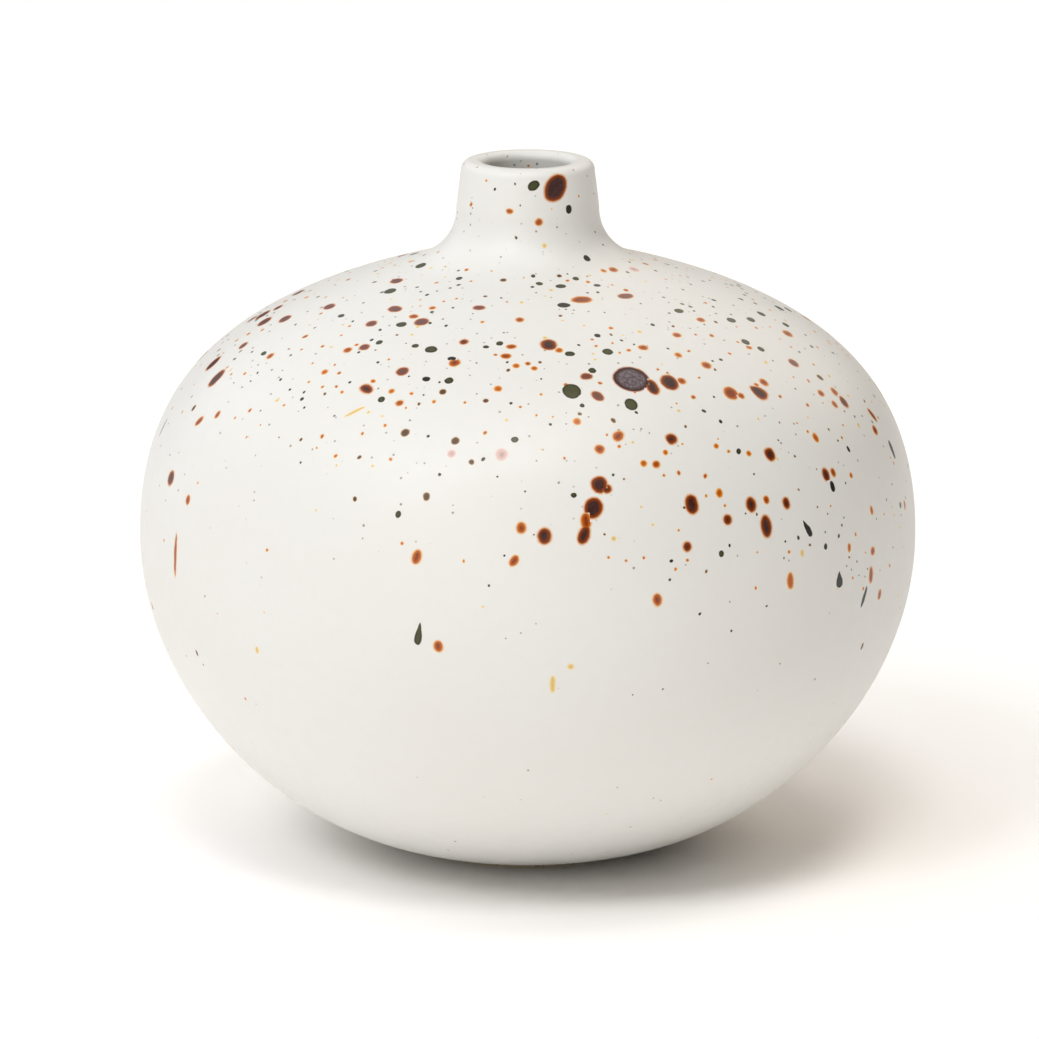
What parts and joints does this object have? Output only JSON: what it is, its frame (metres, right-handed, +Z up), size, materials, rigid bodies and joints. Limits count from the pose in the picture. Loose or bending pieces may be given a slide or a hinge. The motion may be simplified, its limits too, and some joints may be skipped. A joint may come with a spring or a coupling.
{
  "type": "ceramic bud vase",
  "caption": "Squat round-bellied ceramic bud vase with a short narrow neck, off-white satin glaze and splashes of iron and olive over the shoulder.",
  "frame": {"origin": "centre of the foot ring, on the surface that the vase stands on", "axes": "+Z up along the vase's own axis; -Y faces the side seen first; +X to the right of that side"},
  "size_m": [0.12, 0.12, 0.1077],
  "materials": {
    "clay": "bare fired stoneware, fine dry tooth",
    "outer_glaze": "off-white satin-matte glaze with splashes of iron brown, rust, orange and olive",
    "liner_glaze": "plain off-white glaze, a little glossier than outside"
  },
  "bodies": {
    "root": {"foot_ring": "clay", "lower_bowl": "clay", "shoulder_dome": "clay", "neck_collar": "clay", "outer_glaze": "outer_glaze", "liner_glaze": "liner_glaze"}
  },
  "joints": []
}
